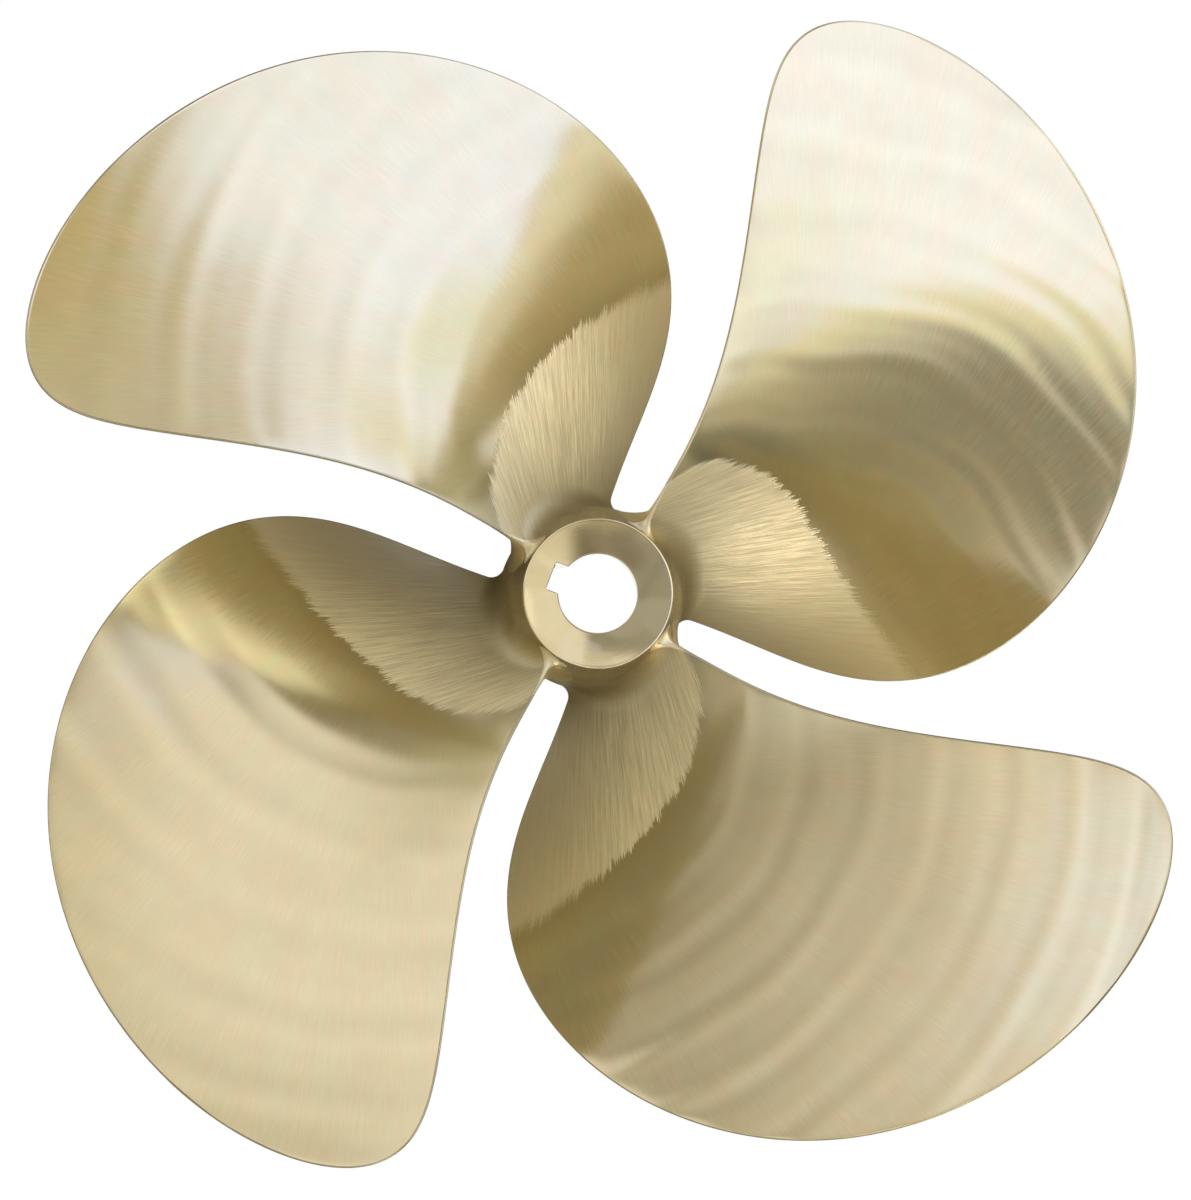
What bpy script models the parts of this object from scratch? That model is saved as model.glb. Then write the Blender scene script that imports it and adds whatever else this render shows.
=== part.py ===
"""A four-blade fixed-pitch ship propeller, cast in one piece in bronze.

Metres, +Z up. +Z runs along the shaft and points aft, so the blades' pressure faces look up. The
casting rests on the forward face of its hub, whose centre is the origin. The keyway lies on -X, and
the middle of each blade's root lies half way between two axes. Angles run counter-clockwise seen
from aft. The propeller is right-handed: each blade climbs aft as its angle grows, and its leading
edge is the low, clockwise one.
"""

import math

import bmesh
import bpy
import numpy as np
from mathutils import Matrix

# The propeller as a whole
DIAMETER = 0.900
TIP_RADIUS = DIAMETER / 2
BLADES = 4
FIRST_BLADE_ANGLE = 135.0

# The hub: a barrel that draws in towards its aft end
HUB_LENGTH = 0.150
HUB_RADIUS_FORWARD = 0.0655
HUB_RADIUS_AFT = 0.0522
HUB_DRAW_IN = 3.0
HUB_BEVEL_FORWARD = 0.003
HUB_BEVEL_AFT = 0.0015
HUB_SIDES = 80
HUB_RINGS = 8

# The tapered bore and its keyway
BORE_RADIUS_FORWARD = 0.035
BORE_TAPER = 1 / 10
BORE_RADIUS_AFT = BORE_RADIUS_FORWARD - HUB_LENGTH * BORE_TAPER / 2
BORE_BEVEL = 0.001
KEYWAY_WIDTH = 0.020
KEYWAY_DEPTH = 0.0075
KEYWAY_ANGLE = 180.0
KEYWAY_CUT_LENGTH = 3 * HUB_LENGTH

# The blade's outline, at a few stations from hub to tip. Each station is a share of the tip radius.
# Half the angle that the blade spans, before the round of the tip takes its share, in degrees
STATIONS = (0.15, 0.35, 0.55, 0.75, 0.90, 1.00)
HALF_SPAN = (37.1, 47.7, 59.2, 69.6, 81.6, 96.7)
# How far the middle of the blade lies ahead of the blade's root line, in degrees
SKEW = (-1.1, -2.3, 2.5, 11.8, 20.6, 26.9)
TRAILING_TUCK = 7.0
TUCK_REACH = 0.013
TIP_BLUNTNESS = 0.0006

# The helical face: the advance of one turn as a share of the diameter, and where it stands
PITCH_RATIO = 0.85
PITCH_EASE = 0.30
PITCH_STATION = 0.70
FACE_HEIGHT = 0.0843
RAKE = 0.07

# Thickness falls evenly from the shaft's axis to the tip, and is greatest ahead of mid-chord
THICKNESS_AT_AXIS = 0.0405
THICKNESS_AT_TIP = 0.0032
EDGE_THICKNESS = 0.0026
BULGE_SHIFT = 0.20
BULGE_FULLNESS = 0.80

# The fillet where a blade's faces and edges run into the hub
FILLET_FACE = 0.022
FILLET_EDGE = 0.010
FILLET_SINK = 0.0012
FILLET_ANGLES = (20.0, 38.0, 56.0, 74.0, 90.0)
FILLET_PASSES = 3
ROOT_DEPTH_RADIUS = 0.0465
FIRST_PLAIN_RADIUS = 0.100
PLAIN_RINGS = 18
CHORD_STEPS = 15

SHARP_ANGLE = math.radians(32)
BRONZE = (0.62, 0.53, 0.33, 1.0)
BRONZE_ROUGHNESS = 0.34


def faired(values, at):
    """The smooth curve through the values at the stations, read at other shares of the radius."""
    return np.polyval(np.polyfit(STATIONS, values, len(STATIONS) - 1), at)


def hub_radius(z):
    """The barrel's radius at a height: full at the forward end, drawing in ever faster aft."""
    share = np.clip(z / HUB_LENGTH, 0.0, 1.0)
    return HUB_RADIUS_FORWARD - (HUB_RADIUS_FORWARD - HUB_RADIUS_AFT) * share**HUB_DRAW_IN


def bore_radius(z):
    """The taper bore's radius at a height."""
    return BORE_RADIUS_FORWARD - z * BORE_TAPER / 2


def advance(radius):
    """How far the helix climbs for each radian at a radius."""
    ease = PITCH_EASE * (radius / TIP_RADIUS - PITCH_STATION) ** 2
    return DIAMETER * (PITCH_RATIO - ease) / (2 * math.pi)


def half_span(radius):
    """Half the angle that the blade spans at a radius, in radians, round at the tip."""
    share = radius / TIP_RADIUS
    return np.radians(faired(HALF_SPAN, share)) * np.sqrt(np.maximum(1 - share, 0) + TIP_BLUNTNESS)


def middle(radius):
    """The angle of the middle of the blade at a radius, in radians."""
    return math.radians(FIRST_BLADE_ANGLE) + np.radians(faired(SKEW, radius / TIP_RADIUS))


def tuck(radius, along):
    """How far the trailing edge draws in where it meets the hub, in radians."""
    near_hub = np.exp(-np.maximum(radius - HUB_RADIUS_AFT, 0) / TUCK_REACH)
    return math.radians(TRAILING_TUCK) * near_hub * np.maximum(along, 0) ** 2


def thickness(radius, along):
    """The section's thickness; along runs from -1 at the leading edge to 1 at the trailing edge."""
    full = THICKNESS_AT_AXIS + (THICKNESS_AT_TIP - THICKNESS_AT_AXIS) * radius / TIP_RADIUS
    shifted = along + BULGE_SHIFT * (1 - along**2)
    return EDGE_THICKNESS + (full - EDGE_THICKNESS) * (1 - shifted**2) ** BULGE_FULLNESS


def section_stations():
    """Places round a section: aft face to the trailing edge, its nose, forward face, the other nose."""
    face = -np.cos(np.linspace(0, math.pi, CHORD_STEPS))
    along = np.concatenate([face, [1.0], face[::-1], [-1.0]])
    depth = np.concatenate([np.zeros(CHORD_STEPS), [0.5], np.ones(CHORD_STEPS), [0.5]])
    nose = np.zeros(len(along))
    nose[CHORD_STEPS] = EDGE_THICKNESS / 2
    nose[-1] = -EDGE_THICKNESS / 2
    return along, depth, nose


def ring(radius, offset):
    """The section's points at these radii, each pushed out of the section by its offset."""
    along, depth, nose = section_stations()
    climb = advance(radius)
    slant = np.hypot(radius, climb)
    run = (half_span(radius) * along - tuck(radius, along)) * slant + nose
    rise = -thickness(radius, along) * depth
    step_run = np.roll(run, -1) - np.roll(run, 1)
    step_rise = np.roll(rise, -1) - np.roll(rise, 1)
    length = np.hypot(step_run, step_rise)
    run = run - offset * step_rise / length
    rise = rise + offset * step_run / length
    angle = middle(radius) + (run * radius - rise * climb) / slant / radius
    start = FACE_HEIGHT + RAKE * (radius - HUB_RADIUS_FORWARD)
    start = start + climb * (middle(radius) - math.radians(FIRST_BLADE_ANGLE))
    height = start + (run * climb + rise * radius) / slant
    return np.stack([radius * np.cos(angle), radius * np.sin(angle), height], axis=1)


def fillet_rings():
    """Rings that leave the hub's surface and curl up into the blade, the lowest one first."""
    along, _, _ = section_stations()
    size = FILLET_EDGE + (FILLET_FACE - FILLET_EDGE) * (1 - along**2)
    rings = []
    radii = []
    for angle in np.radians(FILLET_ANGLES):
        offset = size * (1 - math.sin(angle))
        lift = size * (1 - math.cos(angle)) - FILLET_SINK
        radius = HUB_RADIUS_FORWARD + lift
        for _ in range(FILLET_PASSES):
            radius = hub_radius(ring(radius, offset)[:, 2]) + lift
        rings.append(ring(radius, offset))
        radii.append(radius)
    return rings, radii[-1]


def blade_rings():
    """All the blade's rings: inside the hub, round the fillet, and out to the tip."""
    count = len(section_stations()[0])
    rings, last = fillet_rings()
    between = (last + FIRST_PLAIN_RADIUS) / 2
    turn = np.linspace(0, math.pi / 2, PLAIN_RINGS)
    reach = FIRST_PLAIN_RADIUS + (TIP_RADIUS - FIRST_PLAIN_RADIUS) * np.sin(turn)
    plain = [ring(np.full(count, radius), 0.0) for radius in reach]
    inside = ring(np.full(count, ROOT_DEPTH_RADIUS), 0.0)
    return [inside, *rings, ring(between, 0.0), *plain]


def bronze():
    """Pale bronze with a satin ground finish."""
    material = bpy.data.materials.new("bronze")
    material.use_nodes = True
    shader = material.node_tree.nodes["Principled BSDF"]
    shader.inputs["Base Color"].default_value = BRONZE
    shader.inputs["Metallic"].default_value = 1.0
    shader.inputs["Roughness"].default_value = BRONZE_ROUGHNESS
    return material


def finished(name, shape, material):
    """An object from a bmesh, with outward faces and smooth shading away from its edges."""
    bmesh.ops.recalc_face_normals(shape, faces=shape.faces)
    mesh = bpy.data.meshes.new(name)
    shape.to_mesh(mesh)
    shape.free()
    mesh.materials.append(material)
    mesh.shade_smooth()
    mesh.set_sharp_from_angle(angle=SHARP_ANGLE)
    made = bpy.data.objects.new(name, mesh)
    bpy.context.scene.collection.objects.link(made)
    return made


def cap(shape, corners):
    """Closes an open end with a fan about its middle."""
    centre = shape.verts.new(np.mean([corner.co[:] for corner in corners], axis=0))
    for here, after in zip(corners, corners[1:] + corners[:1]):
        shape.faces.new((here, after, centre))


def loft(rings):
    """A closed skin over the rings."""
    shape = bmesh.new()
    rows = [[shape.verts.new(point) for point in points] for points in rings]
    for lower, upper in zip(rows, rows[1:]):
        for i in range(len(lower)):
            j = (i + 1) % len(lower)
            shape.faces.new((lower[i], lower[j], upper[j], upper[i]))
    cap(shape, rows[0])
    cap(shape, rows[-1])
    return shape


def hub_profile():
    """The hub's half section, from the forward rim aft along the barrel and back down the bore."""
    top = HUB_LENGTH
    heights = np.linspace(HUB_BEVEL_FORWARD, top - HUB_BEVEL_AFT, HUB_RINGS)
    barrel = [(float(hub_radius(z)), float(z)) for z in heights]
    forward_rim = [(HUB_RADIUS_FORWARD - HUB_BEVEL_FORWARD, 0.0)]
    aft_rim = [(HUB_RADIUS_AFT - HUB_BEVEL_AFT, top)]
    bore_aft = [(BORE_RADIUS_AFT + BORE_BEVEL, top), (bore_radius(top - BORE_BEVEL), top - BORE_BEVEL)]
    bore_forward = [(bore_radius(BORE_BEVEL), BORE_BEVEL), (BORE_RADIUS_FORWARD + BORE_BEVEL, 0.0)]
    return forward_rim + barrel + aft_rim + bore_aft + bore_forward


def hub_shape():
    """The hub, turned from its half section."""
    shape = bmesh.new()
    corners = [shape.verts.new((radius, 0.0, z)) for radius, z in hub_profile()]
    edges = [shape.edges.new(pair) for pair in zip(corners, corners[1:] + corners[:1])]
    bmesh.ops.spin(
        shape,
        geom=corners + edges,
        cent=(0, 0, 0),
        axis=(0, 0, 1),
        angle=2 * math.pi,
        steps=HUB_SIDES,
        use_merge=True,
    )
    return shape


def keyway_shape():
    """The slot for the key, as deep all the way along as it is at the aft end."""
    inner = BORE_RADIUS_AFT / 2
    outer = BORE_RADIUS_AFT + KEYWAY_DEPTH
    shape = bmesh.new()
    bmesh.ops.create_cube(shape, size=1.0)
    size = Matrix.Diagonal((outer - inner, KEYWAY_WIDTH, KEYWAY_CUT_LENGTH, 1.0))
    place = Matrix.Translation(((inner + outer) / 2, 0.0, 0.0))
    lean = Matrix.Rotation(-math.atan(BORE_TAPER / 2), 4, "Y")
    raised = Matrix.Translation((0.0, 0.0, HUB_LENGTH))
    turned = Matrix.Rotation(math.radians(KEYWAY_ANGLE), 4, "Z")
    bmesh.ops.transform(shape, matrix=turned @ raised @ lean @ place @ size, verts=shape.verts)
    return shape


def combine(target, other, operation):
    """Joins or cuts with a helper object, which the render and the build leave out."""
    other.hide_render = True
    other.display_type = "WIRE"
    change = target.modifiers.new(other.name, "BOOLEAN")
    change.operation = operation
    change.solver = "EXACT"
    change.object = other


def build():
    """The whole casting: the hub, its blades joined on, and the keyway cut last."""
    for old in list(bpy.data.objects):
        bpy.data.objects.remove(old, do_unlink=True)
    material = bronze()
    casting = finished("propeller_casting", hub_shape(), material)
    first = finished("blade_1", loft(blade_rings()), material)
    combine(casting, first, "UNION")
    for number in range(1, BLADES):
        blade = bpy.data.objects.new(f"blade_{number + 1}", first.data)
        bpy.context.scene.collection.objects.link(blade)
        blade.rotation_euler.z = number * 2 * math.pi / BLADES
        combine(casting, blade, "UNION")
    combine(casting, finished("keyway", keyway_shape(), material), "DIFFERENCE")


build()
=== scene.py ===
"""The looks of a four-blade fixed-pitch ship propeller, cast in one piece in pale bronze.

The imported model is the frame. Its one node, the casting, is replaced by finer surfaces of the same
sizes: a turned hub with its keyed taper bore, and four blades that flow out of it. Every surface is
worked out with numpy as a function of two parameters. Metres, +Z along the shaft and pointing aft.
"""

from __future__ import annotations

import logging
import math
from dataclasses import dataclass, field
from enum import Enum
from typing import ClassVar

import bmesh
import bpy
import numpy as np
from mathutils import Matrix, Vector


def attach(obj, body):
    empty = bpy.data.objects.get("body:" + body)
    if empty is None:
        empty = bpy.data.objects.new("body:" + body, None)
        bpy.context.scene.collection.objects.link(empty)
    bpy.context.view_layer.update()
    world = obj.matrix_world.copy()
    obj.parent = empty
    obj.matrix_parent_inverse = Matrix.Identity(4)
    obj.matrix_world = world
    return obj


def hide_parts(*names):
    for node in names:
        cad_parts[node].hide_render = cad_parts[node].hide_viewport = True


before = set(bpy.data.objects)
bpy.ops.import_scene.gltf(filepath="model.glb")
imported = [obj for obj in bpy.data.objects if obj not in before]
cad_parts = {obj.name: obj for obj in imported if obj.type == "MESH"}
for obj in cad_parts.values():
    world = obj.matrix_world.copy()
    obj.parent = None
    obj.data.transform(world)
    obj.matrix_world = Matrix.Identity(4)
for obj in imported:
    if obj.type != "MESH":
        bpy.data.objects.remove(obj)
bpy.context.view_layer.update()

Array = np.ndarray
Material = bpy.types.Material
Socket = bpy.types.NodeSocket
Colour = tuple[float, float, float]
# What a node's socket takes: another node's output, or a number or colour of its own
Feed = Socket | float | tuple[float, ...]

log = logging.getLogger("propeller")

CASTING_NODE = "propeller_casting"
BODY = "root"

# Keeps a divisor away from 0
TINY = 1e-6

# The photograph's axes are the casting's, turned by this much about the shaft
PHOTO_TURN = math.radians(21.0)


# Meshes


@dataclass
class Sheet:
    """A grid of points with the places that its finish reads.

    Args:
        points: The grid, rows by columns by 3.
        maps: UV maps by name, each rows by columns by 2.
        values: Numbers by name, each rows by columns.
        finish: Index of the sheet's finish on its piece.
    """

    points: Array
    maps: dict[str, Array] = field(default_factory=dict)
    values: dict[str, Array] = field(default_factory=dict)
    finish: int = 0

    def quads(self, start: int) -> Array:
        """The quads' corner numbers, four to a row; start is the sheet's first point in the mesh."""
        rows, columns = self.points.shape[:2]
        number = start + np.arange(rows * columns).reshape(rows, columns)
        corners = (number[:-1, :-1], number[:-1, 1:], number[1:, 1:], number[1:, :-1])
        return np.stack(corners, axis=-1).reshape(-1, 4)


class Piece:
    """One shown piece: sheets joined into a closed skin, riding on the casting's body."""

    # Points closer than this are merged
    WELD: ClassVar[float] = 2e-7

    def __init__(self, name: str, sheets: list[Sheet], finishes: list[Material], sharp: float) -> None:
        """Joins the sheets and dresses the skin.

        Args:
            name: The piece's name.
            sheets: Sheets whose borders meet.
            finishes: The materials, in the order that the sheets number them.
            sharp: Angle in radians above which an edge is shaded sharp.
        """
        self.mesh = bpy.data.meshes.new(name)
        self.sheets = sheets
        self._fill()
        self._weld()
        for finish in finishes:
            self.mesh.materials.append(finish)
        self.mesh.shade_smooth()
        self.mesh.set_sharp_from_angle(angle=sharp)
        self.object = bpy.data.objects.new(name, self.mesh)
        bpy.context.scene.collection.objects.link(self.object)
        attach(self.object, BODY)
        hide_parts(CASTING_NODE)
        log.info("%s: %d faces", name, len(self.mesh.polygons))

    def _fill(self) -> None:
        """Puts the sheets' points, quads, maps and values into the mesh."""
        starts = np.cumsum([0] + [sheet.points[..., 0].size for sheet in self.sheets])
        points = np.concatenate([sheet.points.reshape(-1, 3) for sheet in self.sheets])
        quads = np.concatenate([sheet.quads(start) for sheet, start in zip(self.sheets, starts)])
        self.mesh.from_pydata(points.tolist(), [], quads.tolist())
        for name in self.sheets[0].maps:
            flat = np.concatenate([sheet.maps[name].reshape(-1, 2) for sheet in self.sheets])
            layer = self.mesh.uv_layers.new(name=name)
            layer.data.foreach_set("uv", flat[quads.ravel()].astype(np.float32).ravel())
        for name in self.sheets[0].values:
            flat = np.concatenate([sheet.values[name].ravel() for sheet in self.sheets])
            layer = self.mesh.attributes.new(name, "FLOAT", "POINT")
            layer.data.foreach_set("value", flat.astype(np.float32))
        finishes = np.concatenate([np.full(len(s.quads(0)), s.finish) for s in self.sheets])
        self.mesh.polygons.foreach_set("material_index", finishes.astype(np.int32))

    def _weld(self) -> None:
        """Merges points that coincide along seams and at poles, and turns the faces outwards."""
        shape = bmesh.new()
        shape.from_mesh(self.mesh)
        bmesh.ops.remove_doubles(shape, verts=shape.verts, dist=self.WELD)
        bmesh.ops.recalc_face_normals(shape, faces=shape.faces)
        shape.to_mesh(self.mesh)
        shape.free()


def unit(vectors: Array) -> Array:
    """The vectors, each scaled to length 1."""
    return vectors / np.maximum(np.linalg.norm(vectors, axis=-1, keepdims=True), 1e-12)


def grid_normals(points: Array) -> Array:
    """Unit normals of a grid: the cross product of its steps along the columns and the rows."""
    return unit(np.cross(np.gradient(points, axis=1), np.gradient(points, axis=0)))


def smooth_step(low: float, high: float, at: Array) -> Array:
    """Runs smoothly from 0 at low to 1 at high."""
    share = np.clip((at - low) / (high - low), 0.0, 1.0)
    return share * share * (3.0 - 2.0 * share)


# The hub


@dataclass(frozen=True)
class HubForm:
    """Sizes of the hub's barrel, its taper bore and its keyway."""

    length: float = 0.150
    radius_forward: float = 0.0655
    radius_aft: float = 0.0522
    draw_in: float = 3.0
    bevel_forward: float = 0.003
    rim_width: float = 0.0016
    rim_height: float = 0.0007
    bore_forward: float = 0.035
    bore_taper: float = 1 / 10
    bore_bevel: float = 0.0004
    key_half_width: float = 0.010
    key_depth: float = 0.0075
    key_corner: float = 36.0

    def radius(self, z: Array) -> Array:
        """The barrel's radius: full at the forward end, drawing in with the cube of the height."""
        share = np.clip(z / self.length, 0.0, 1.0)
        return self.radius_forward - (self.radius_forward - self.radius_aft) * share**self.draw_in

    def bore(self, z: Array) -> Array:
        """The taper bore's radius, which shrinks evenly aft."""
        return self.bore_forward - z * self.bore_taper / 2

    def key_wall(self, z: Array) -> Array:
        """How far the keyway's outer wall stands from the axis, parallel to the taper."""
        return self.bore(z) + self.key_depth


@dataclass
class Hub:
    """The hub: a turned barrel with a taper bore, one keyway and a turned aft face.

    Args:
        form: The hub's sizes.
        groove_pitch: Distance between two of the cutter's grooves on the aft face.
        flank_inner: Lean of a groove's broad flank next to the bore, in radians, facing outwards.
        flank_outer: Its lean next to the rim.
        ridge_share: Share of a groove that its steep flank takes.
        columns: Points round the hub, outside the keyway.
        wall_columns: Points along each side wall of the keyway, and floor_columns along its outer one.
        brushing: How clearly the brush strokes show on the barrel.
    """

    form: HubForm
    groove_pitch: float = 0.00055
    flank_inner: float = math.radians(5.0)
    flank_outer: float = math.radians(8.6)
    ridge_share: float = 0.15
    columns: int = 264
    wall_columns: int = 10
    floor_columns: int = 22
    barrel_rows: int = 60
    bore_rows: int = 40
    foot_rows: int = 12
    bevel_rows: int = 9
    brushing: float = 0.2
    sharp: float = math.radians(24)

    BARREL, TURNED, BORED = range(3)
    # The finish reads the barrel as lying this far inside the brushed root's border, in its painted shade
    INSIDE_ROOT: ClassVar[float] = -0.07
    # The keyway is looked for where the angle's cosine is above this
    KEY_SECTOR: ClassVar[float] = 0.5

    def profile(self) -> list[tuple[Array, int]]:
        """The half section as runs of (radius, height) with the finish of each.

        The rim is a quarter of an ellipse. A groove falls steeply just inside each ridge and climbs
        back to the face inwards along its broad flank, which leans more towards the rim.

        Returns:
            Runs in order: forward bevel and barrel, aft rim, grooved face, bore, forward face.
        """
        form, top = self.form, self.form.length
        z = np.linspace(form.bevel_forward, top - form.rim_height, self.barrel_rows)
        turn = np.radians(np.linspace(0, 90, self.bevel_rows))
        forward = np.stack([form.radius(form.bevel_forward) - form.bevel_forward * (1 - np.cos(turn)),
                            form.bevel_forward * (1 - np.sin(turn))], axis=1)[::-1]
        barrel = np.stack([form.radius(z), z], axis=1)
        rim = np.stack([form.radius(top - form.rim_height) - form.rim_width * (1 - np.cos(turn)),
                        top - form.rim_height * (1 - np.sin(turn))], axis=1)
        edge, inner = rim[-1, 0], form.bore(top) + form.bore_bevel
        ridges = np.arange(edge, inner, -self.groove_pitch)[:-1]
        lean = self.flank_inner + (self.flank_outer - self.flank_inner) * (ridges - inner) / (edge - inner)
        ridge = np.stack([ridges, np.full(len(ridges), top)], axis=1)
        steep = self.ridge_share * self.groove_pitch
        valley = np.stack([ridges - steep, top - (self.groove_pitch - steep) * np.tan(lean)], axis=1)
        face = np.concatenate([np.stack([ridge, valley], axis=1).reshape(-1, 2), [[inner, top]]])
        depth, grown = form.bore_bevel * (1 - np.cos(turn)), form.bore_bevel * (1 - np.sin(turn))
        lip = np.stack([form.bore(top - depth) + grown, top - depth], axis=1)
        z = np.linspace(top - form.bore_bevel, form.bore_bevel, self.bore_rows)
        bore = np.stack([form.bore(z), z], axis=1)
        lip_forward = np.stack([form.bore(depth) + grown, depth], axis=1)[::-1]
        r = np.linspace(lip_forward[-1, 0], forward[0, 0], self.foot_rows)
        ground = np.stack([r, np.zeros(len(r))], axis=1)
        return [
            (np.concatenate([forward, barrel[1:]]), self.BARREL),
            (rim, self.TURNED),
            (face, self.TURNED),
            (np.concatenate([lip, bore[1:], lip_forward[1:]]), self.BORED),
            (ground, self.TURNED),
        ]

    def columns_at(self, z: Array) -> Array:
        """The columns' angles at each height, in radians from the keyway's middle.

        The keyway's corners stand on columns: its outer wall spans half angle atan(half width / wall
        distance), and its side walls end where they cut the bore, at asin(half width / bore radius).

        Args:
            z: Heights.

        Returns:
            Heights by columns; the last column repeats the first after a full turn.
        """
        corner = np.arctan2(self.form.key_half_width, self.form.key_wall(z))[:, None]
        mouth = np.arcsin(self.form.key_half_width / self.form.bore(z))[:, None]
        floor = np.linspace(-1, 1, self.floor_columns)[None]
        wall = np.linspace(0, 1, self.wall_columns)[None, 1:]
        around = np.linspace(0, 1, self.columns)[None, 1:]
        rest = mouth + (2 * np.pi - 2 * mouth) * around
        last = 2 * np.pi - mouth + (mouth - corner) * wall
        return np.concatenate([corner * floor, corner + (mouth - corner) * wall, rest, last], axis=1)

    def slot_reach(self, angle: Array, z: Array) -> Array:
        """The keyway's outline in polar form.

        The distance to the nearer of the outer wall and the side wall, with the corner eased by a
        power mean, and grown by the bevel near the hub's two faces.

        Args:
            angle: Angles from the keyway's middle.
            z: Heights, of the same shape.

        Returns:
            The distance from the axis, 0 away from the keyway.
        """
        form = self.form
        near_face = np.minimum(form.length - z, z)
        grown = np.maximum(form.bore_bevel - near_face, 0.0)
        side = (form.key_half_width + grown) / np.maximum(np.abs(np.sin(angle)), TINY)
        outer = (form.key_wall(z) + grown) / np.maximum(np.cos(angle), TINY)
        power, scale = form.key_corner, form.bore_forward
        reach = scale * ((side / scale) ** -power + (outer / scale) ** -power) ** (-1 / power)
        return np.where(np.cos(angle) > self.KEY_SECTOR, reach, 0.0)

    def build(self, finishes: list[Material]) -> Piece:
        """Turns the profile about the shaft, pushing it out where the keyway is."""
        sheets = []
        for run, finish in self.profile():
            r, z = run[:, 0], run[:, 1]
            angle = self.columns_at(z)
            height = np.broadcast_to(z[:, None], angle.shape)
            reach = self.slot_reach(angle, height)
            radius = np.broadcast_to(r[:, None], angle.shape)
            if finish != self.BARREL:
                radius = np.maximum(radius, reach)
            turn = angle + math.pi
            points = np.stack([radius * np.cos(turn), radius * np.sin(turn), height], axis=-1)
            length = np.concatenate([[0], np.cumsum(np.hypot(np.diff(r), np.diff(z)))])
            length = np.broadcast_to(length[:, None], angle.shape)
            around = angle * self.form.radius_forward
            strokes = np.stack([around, length], axis=-1)
            maps = {"turning": np.stack([length, around], axis=-1), "passes": strokes, "fan": strokes}
            plain = np.ones(angle.shape)
            # The barrel takes the dark painted shade all over
            values = {"beyond_root": self.INSIDE_ROOT * plain, "hollow": plain, "sheen": plain,
                      "brushed": self.brushing * plain}
            sheets.append(Sheet(points, maps, values, finish))
        return Piece("hub", sheets, finishes, self.sharp)


# The blades


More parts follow.
